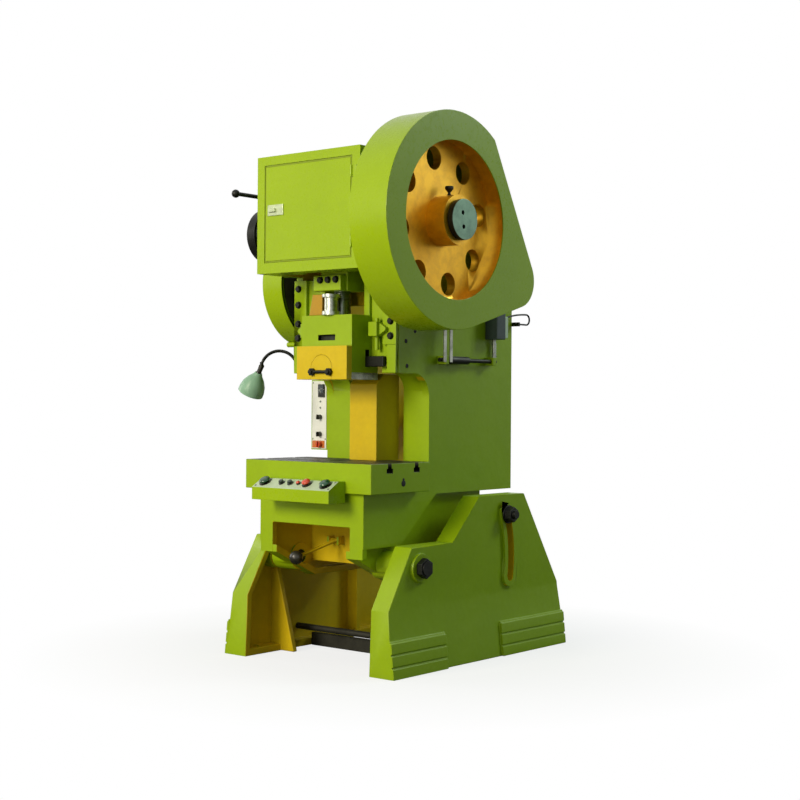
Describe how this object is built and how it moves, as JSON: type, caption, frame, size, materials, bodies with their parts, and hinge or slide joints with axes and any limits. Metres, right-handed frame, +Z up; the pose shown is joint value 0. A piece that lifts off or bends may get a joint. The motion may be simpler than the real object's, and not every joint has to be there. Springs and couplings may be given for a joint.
{
  "type": "mechanical stamping press",
  "caption": "Open-back inclinable crank press: C-shaped cast frame tilting on two legs, gear-driven crank, guided slide over a slotted bolster, teardrop gear cover and push-button desk.",
  "frame": {"origin": "floor level, centre of the four anchor bolt holes", "axes": "+X to the operator's right, +Y to the back of the press, +Z up"},
  "size_m": [1.232, 1.5459, 2.27],
  "materials": {
    "green_paint": "semi-gloss enamel on cast iron",
    "yellow_paint": "semi-gloss enamel on cast iron",
    "machined_iron": "ground, oiled",
    "cast_iron": "as cast, dark",
    "bright_steel": "turned",
    "dark_steel": "blackened",
    "bronze": "bored",
    "gear_iron": "yellow enamel, greased teeth",
    "rubber": "matt",
    "motor_green": "semi-gloss enamel",
    "white_panel": "gloss enamel",
    "black_plastic": "moulded",
    "red_plastic": "moulded",
    "green_plastic": "moulded",
    "lamp_enamel": "hammered enamel",
    "glass": "frosted"
  },
  "bodies": {
    "base": {"left_leg": "green_paint", "right_leg": "green_paint", "base_ties": "cast_iron", "pivot_pins": "dark_steel", "pivot_nuts": "bright_steel"},
    "frame": {"press_frame": "green_paint", "bearing_bushes": "bronze", "bolster_plate": "green_paint", "tilt_lock_bolts": "bright_steel", "throat_box": "yellow_paint", "gibs": "green_paint", "frame_bolts": "dark_steel", "stop_brackets": "green_paint", "gear_cover": "green_paint", "belt_guard": "green_paint", "drive_belts": "rubber", "motor": "motor_green", "motor_bracket": "green_paint", "crank_cover": "green_paint", "brake_band": "dark_steel", "control_desk": "green_paint", "electrical_cabinet": "green_paint", "cabinet_panel": "white_panel", "trip_bearings": "green_paint", "solenoid": "green_paint", "lamp_neck": "bright_steel", "conduit": "dark_steel"},
    "door": {"cover_door": "green_paint", "door_handle": "bright_steel"},
    "crank": {"crankshaft": "bright_steel", "brake_drum": "machined_iron"},
    "rod": {"connecting_rod": "green_paint", "rod_cap": "green_paint", "rod_bolts": "dark_steel", "ball_screw": "bright_steel"},
    "ram": {"slide": "green_paint", "shank_clamp": "yellow_paint", "clamp_nuts": "dark_steel", "slide_cap": "yellow_paint", "lock_ring": "bright_steel"},
    "knockout": {"knockout_bar": "dark_steel"},
    "gear": {"bull_gear": "gear_iron"},
    "drive_shaft": {"countershaft": "bright_steel", "pinion": "machined_iron", "flywheel": "green_paint"},
    "pulley": {"motor_pulley": "cast_iron"},
    "palm_left": {"left_palm_button": "green_plastic"},
    "palm_right": {"right_palm_button": "green_plastic"},
    "jog_left": {"left_jog_button": "black_plastic"},
    "jog_right": {"right_jog_button": "black_plastic"},
    "stop_button": {"emergency_stop": "red_plastic"},
    "knob_upper": {"upper_knob": "black_plastic"},
    "knob_lower": {"lower_knob": "black_plastic"},
    "isolator": {"isolator_switch": "red_plastic"},
    "trip": {"trip_shaft": "dark_steel"},
    "pull_rods": {"trip_rods": "bright_steel"},
    "link": {"solenoid_link": "bright_steel"},
    "lamp": {"lamp_shade": "lamp_enamel", "lamp_bulb": "glass"},
    "lever": {"release_lever": "black_plastic"}
  },
  "joints": [
    {"name": "tilt", "type": "hinge", "parent": "base", "child": "frame", "pos_m": [0, -0.41, 0.425], "axis": [-1, 0, 0], "range_deg": [0, 24]},
    {"name": "door_hinge", "type": "hinge", "parent": "frame", "child": "door", "pos_m": [0.2467, -0.63, 1.8925], "axis": [0, 0, 1], "range_deg": [0, 95]},
    {"name": "crank_spin", "type": "hinge", "parent": "frame", "child": "crank", "pos_m": [0, -0.401, 1.831], "axis": [-1, 0, 0], "range_deg": [0, 180]},
    {"name": "rod_swing", "type": "hinge", "parent": "crank", "child": "rod", "pos_m": [0, -0.401, 1.876], "axis": [-1, 0, 0], "range_deg": [-180, 0]},
    {"name": "slide_stroke", "type": "slide", "parent": "frame", "child": "ram", "axis": [0, 0, 1], "range_m": [-0.09, 0]},
    {"name": "knockout_lift", "type": "slide", "parent": "ram", "child": "knockout", "axis": [0, 0, 1], "range_m": [0, 0.022]},
    {"name": "gear_spin", "type": "hinge", "parent": "frame", "child": "gear", "pos_m": [0.54, -0.401, 1.831], "axis": [-1, 0, 0], "continuous": true},
    {"name": "drive_shaft_spin", "type": "hinge", "parent": "frame", "child": "drive_shaft", "pos_m": [0, -0.01712, 1.63286], "axis": [-1, 0, 0], "continuous": true},
    {"name": "pulley_spin", "type": "hinge", "parent": "frame", "child": "pulley", "pos_m": [-0.522, 0.59, 1.25], "axis": [-1, 0, 0], "continuous": true},
    {"name": "palm_left_press", "type": "slide", "parent": "frame", "child": "palm_left", "axis": [0, 0.5144, -0.8575], "range_m": [0, 0.005], "stiffness_N_per_m": 600},
    {"name": "palm_right_press", "type": "slide", "parent": "frame", "child": "palm_right", "axis": [0, 0.5144, -0.8575], "range_m": [0, 0.005], "stiffness_N_per_m": 600},
    {"name": "jog_left_press", "type": "slide", "parent": "frame", "child": "jog_left", "axis": [0, 0.5144, -0.8575], "range_m": [0, 0.005], "stiffness_N_per_m": 300},
    {"name": "jog_right_press", "type": "slide", "parent": "frame", "child": "jog_right", "axis": [0, 0.5144, -0.8575], "range_m": [0, 0.005], "stiffness_N_per_m": 300},
    {"name": "stop_press", "type": "slide", "parent": "frame", "child": "stop_button", "axis": [0, 0.5144, -0.8575], "range_m": [0, 0.005], "stiffness_N_per_m": 600},
    {"name": "upper_knob_turn", "type": "hinge", "parent": "frame", "child": "knob_upper", "pos_m": [-0.333, -0.18, 1.028], "axis": [0, -1, 0], "range_deg": [-45, 45]},
    {"name": "lower_knob_turn", "type": "hinge", "parent": "frame", "child": "knob_lower", "pos_m": [-0.333, -0.18, 0.951], "axis": [0, -1, 0], "range_deg": [-45, 45]},
    {"name": "isolator_turn", "type": "hinge", "parent": "frame", "child": "isolator", "pos_m": [-0.333, -0.18, 0.905], "axis": [0, 1, 0], "range_deg": [0, 90]},
    {"name": "trip_rock", "type": "hinge", "parent": "frame", "child": "trip", "pos_m": [0.322, 0.05, 1.281], "axis": [0, 1, 0], "range_deg": [0, 20], "stiffness_Nm_per_rad": 4},
    {"name": "trip_rod_pull", "type": "slide", "parent": "frame", "child": "pull_rods", "axis": [0, 0, 1], "range_m": [-0.00681, 0]},
    {"name": "link_lift", "type": "slide", "parent": "frame", "child": "link", "axis": [0, 0, 1], "range_m": [0, 0.00489]},
    {"name": "lamp_tilt", "type": "hinge", "parent": "frame", "child": "lamp", "pos_m": [-0.414, -0.47, 1.252], "axis": [0, 1, 0], "range_deg": [-35, 35]},
    {"name": "lever_swing", "type": "hinge", "parent": "frame", "child": "lever", "pos_m": [-0.076, -0.35, 0.5], "axis": [-1, 0, 0], "range_deg": [-12, 12]}
  ],
  "couplings": [
    {"joint": "rod_swing", "follows": "crank_spin", "ratio": -1},
    {"joint": "slide_stroke", "follows": "crank_spin", "m_per_rad": -0.028648},
    {"joint": "drive_shaft_spin", "follows": "gear_spin", "ratio": -5.75},
    {"joint": "pulley_spin", "follows": "gear_spin", "ratio": -20.946},
    {"joint": "trip_rod_pull", "follows": "trip_rock", "m_per_rad": -0.0195},
    {"joint": "link_lift", "follows": "trip_rock", "m_per_rad": 0.014}
  ]
}
